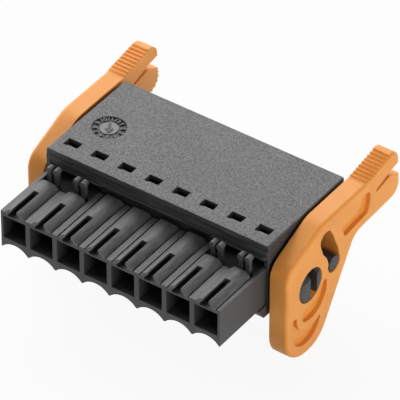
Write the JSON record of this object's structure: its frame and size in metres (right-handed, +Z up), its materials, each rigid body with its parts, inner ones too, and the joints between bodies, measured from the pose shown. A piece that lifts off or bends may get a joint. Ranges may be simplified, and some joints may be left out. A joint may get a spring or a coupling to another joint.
{
  "type": "pluggable terminal block",
  "caption": "Plug-in terminal block: a row of female contacts in a ridged nose with coding slots, sprung wire clamps behind, and a swinging release lever at each end.",
  "frame": {"origin": "middle of the row of poles, on the mating face at the front of the nose, at the height of the contacts", "axes": "+X along the row, to the right when looking into the mouths from the mating side; +Y from the mating face to the wire side; +Z up, towards the plain top plate"},
  "size_m": [0.0368, 0.0316, 0.018],
  "materials": {
    "nose_plastic": "black polyamide, fine moulded sheen",
    "shell_plastic": "black-grey polyamide, fine spark-eroded grain",
    "lever_plastic": "orange polyamide, smooth and slightly satin",
    "tinned_copper": "tin-plated copper alloy sheet, satin",
    "spring_steel": "bare stainless spring strip"
  },
  "bodies": {
    "housing": {"nose": "nose_plastic", "shell": "shell_plastic", "contact_1": "tinned_copper", "contact_2": "tinned_copper", "contact_3": "tinned_copper", "contact_4": "tinned_copper", "contact_5": "tinned_copper", "contact_6": "tinned_copper", "contact_7": "tinned_copper", "contact_8": "tinned_copper", "clamp_spring_1": "spring_steel", "clamp_spring_2": "spring_steel", "clamp_spring_3": "spring_steel", "clamp_spring_4": "spring_steel", "clamp_spring_5": "spring_steel", "clamp_spring_6": "spring_steel", "clamp_spring_7": "spring_steel", "clamp_spring_8": "spring_steel"},
    "lever_left": {"lever_left": "lever_plastic"},
    "lever_right": {"lever_right": "lever_plastic"}
  },
  "joints": [
    {"name": "lever_left_pivot", "type": "hinge", "parent": "housing", "child": "lever_left", "pos_m": [-0.01706, 0.01348, -0.00189], "axis": [1, 0, 0], "range_deg": [-42, 0]},
    {"name": "lever_right_pivot", "type": "hinge", "parent": "housing", "child": "lever_right", "pos_m": [0.01706, 0.01348, -0.00189], "axis": [1, 0, 0], "range_deg": [-42, 0]}
  ]
}
